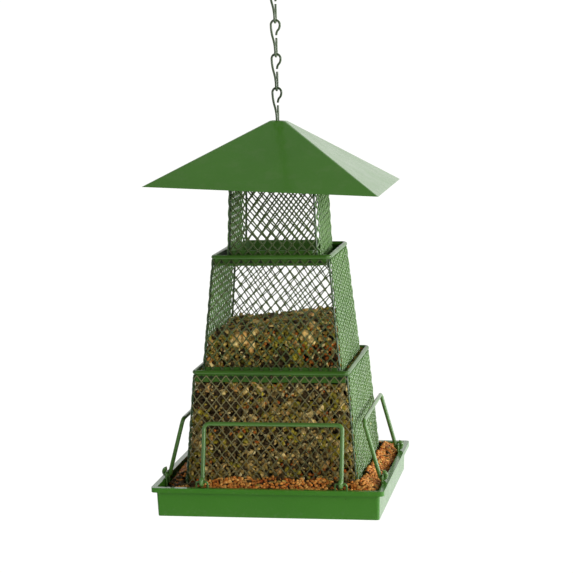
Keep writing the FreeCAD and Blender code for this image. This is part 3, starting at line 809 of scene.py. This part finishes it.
# painted shade: dark seed in the hollows
DIP_SHADE_SHARE = 0.45                        # of the seed in a hollow is sunflower


def tray_surface(x, y):
    reach = np.maximum(np.abs(x), np.abs(y))
    share = np.clip((reach - TRAY_INNER) / (TRAY_OUTER - TRAY_INNER), 0, 1)
    level = BASE_Z + (TRAY_LEVEL - TRAY_FALL * share) * MM
    bank = np.exp(-(x / BANK_HALF) ** 2) * (y < 0) * (1 - share) * BANK_RISE
    front = np.clip((FRONT_AT - y) / FRONT_FADE, 0, 1)
    for at, width, depth in TRAY_DIPS:
        level = level - front * depth * np.exp(-((x - at) / width) ** 2)
    return level + bank + ripple(x, y, 45.0, 2.2 * MM, 12.5) + ripple(x, y, 115.0, 1.5 * MM, 15.5)


def tray_heap():
    x, y = ring_places(TRAY_INNER + 1.0 * MM, TRAY_OUTER - 0.8 * MM, TRAY_GAP)
    z = tray_surface(x, y) - draw.uniform(0, TRAY_SINK, len(x))
    spill = np.stack([x, y, z], -1)
    kinds = choose(spill, {"millet": 0.80, "milo": 0.13, "grain": 0.05, "sunflower": 0.02}, {})
    # painted shade: dark sunflower seeds fill part of each hollow along the front, darkening it as if in
    # shade
    for at, width, _ in TRAY_DIPS:
        dark = (y < FRONT_AT) & (np.abs(x - at) < width) & (draw.uniform(size=len(x)) < DIP_SHADE_SHARE)
        kinds[dark] = "sunflower"
    heap("tray_seed", "lower_tier", spill, np.tile(UPWARD, (len(x), 1)), kinds,
         "seed_tray")


def tray_core():
    """The dark inside of the tray's heap, a painted shade as a closed square ring."""
    points, faces = [], []
    around = 4 * TRAY_STEPS
    for ring in range(TRAY_RINGS + 1):
        half = TRAY_INNER + 0.4 * MM + (TRAY_OUTER - TRAY_INNER - 0.6 * MM) * ring / TRAY_RINGS
        for side in range(4):
            for k in range(TRAY_STEPS):
                flat = OUT[side] * half + ALONG[side] * (-1 + 2 * k / TRAY_STEPS) * half
                z = float(tray_surface(flat[:1], flat[1:2])[0]) - TRAY_CORE_SINK
                points.append((flat[0], flat[1], z))
    for ring in range(TRAY_RINGS):
        for k in range(around):
            a, b = ring * around + k, ring * around + (k + 1) % around
            faces.append((a, a + around, b + around, b))
    top_count = len(points)
    floor_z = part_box("seed_tray")[0].z + 0.3 * MM
    for ring in (0, TRAY_RINGS):
        for k in range(around):
            p = points[ring * around + k]
            points.append((p[0], p[1], floor_z))
    inner_low, outer_low = top_count, top_count + around
    for k in range(around):
        b = (k + 1) % around
        faces.append((k, b, inner_low + b, inner_low + k))
        faces.append((TRAY_RINGS * around + b, TRAY_RINGS * around + k, outer_low + k, outer_low + b))
        faces.append((inner_low + k, inner_low + b, outer_low + b, outer_low + k))
    make_object("tray_seed_core", points, np.array(faces), heap_shade_skin, "lower_tier")


tray_heap()
tray_core()


# ------------------------------------------------------------------ finishes on the CAD pieces
# parts that take the darker, painted shade copy of the green enamel
SHADE_TONED_PARTS = ("middle_collar", "lower_collar", "upper_top_band", "upper_stop_flange", "middle_stop_flange",
           "lower_base_frame")


def finish_of(node):
    if node in SHADE_TONED_PARTS:
        return shade_toned_collar_paint
    if node.startswith("chain_link") or node in ("hanging_hook", "hanging_bail"):
        return chain_paint
    if node.startswith("perch"):
        return wire_paint
    if node == "tray":
        return tray_paint
    return sheet_paint


for name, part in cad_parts.items():
    for slot in part.material_slots:
        slot.material = finish_of(name)


# ------------------------------------------------------------------ floor, world and lights
FLOOR_COLOUR = (0.93, 0.93, 0.92)
FLOOR_DRIFT = 0.985
FLOOR_Z = BASE_Z - 0.45
FLOOR_RADIUS = 1.3


def floor_material():
    """Pale matt board with a very slight drift of tone, lit a little from within."""
    material, tree, shader = new_material("pale_floor")
    tone = noise_node(tree, place_of(tree), 3.0, 2.0)
    shaded = tuple(channel * FLOOR_DRIFT for channel in FLOOR_COLOUR)
    join(tree, mix(tree, tone, FLOOR_COLOUR, shaded), shader.inputs["Base Color"])
    shader.inputs["Roughness"].default_value = 0.9
    shader.inputs["Emission Color"].default_value = (1.0, 1.0, 0.99, 1.0)
    shader.inputs["Emission Strength"].default_value = 0.6
    return material


floor_data = bpy.data.meshes.new("floor")
angles = [math.radians(degrees) for degrees in range(0, 360, 5)]
rim = [(FLOOR_RADIUS * math.cos(angle), FLOOR_RADIUS * math.sin(angle), FLOOR_Z) for angle in angles]
floor_data.from_pydata(rim, [], [tuple(range(len(rim)))])
floor_data.materials.append(floor_material())
floor = bpy.data.objects.new("floor", floor_data)
bpy.context.scene.collection.objects.link(floor)

# light is stronger from behind and from the right, and weaker overhead; the camera sees plain white
world = bpy.data.worlds.new("studio")
bpy.context.scene.world = world
world.use_nodes = True
sky = world.node_tree
sky_light = sky.nodes["Background"]
direction = sky.nodes.new("ShaderNodeTexCoord").outputs["Generated"]
parts = sky.nodes.new("ShaderNodeSeparateXYZ")
join(sky, direction, parts.inputs["Vector"])
deep = span(sky, parts.outputs["Y"], -0.1, 0.7, 0.12, 1.05)
beside = span(sky, parts.outputs["X"], 0.35, 0.9, 0.0, 0.8)
overhead = span(sky, parts.outputs["Z"], 0.35, 0.8, 1.0, 0.45)
strength = maths(sky, "MINIMUM", maths(sky, "ADD", deep, beside), 1.1)
strength = maths(sky, "MULTIPLY", strength, overhead)
seen = sky.nodes.new("ShaderNodeLightPath").outputs["Is Camera Ray"]
join(sky, maths(sky, "MAXIMUM", strength, seen), sky_light.inputs["Strength"])
sky_light.inputs["Color"].default_value = (1.0, 1.0, 0.985, 1.0)


def soft_box(name, place, size, power):
    """A square lamp turned to the feeder."""
    data = bpy.data.lights.new(name, "AREA")
    data.shape = "SQUARE"
    data.size = size
    data.energy = power
    lamp = bpy.data.objects.new(name, data)
    bpy.context.scene.collection.objects.link(lamp)
    lamp.location = place
    lamp.rotation_euler = (Vector(place) - AIM).to_track_quat("Z", "Y").to_euler()


soft_box("key", (2.1, 0.5, -0.1), 1.1, 40.0)
soft_box("front_right", (1.7, -1.6, 0.1), 1.2, 32.0)
soft_box("front_left", (-1.7, -1.5, 0.5), 1.2, 13.0)
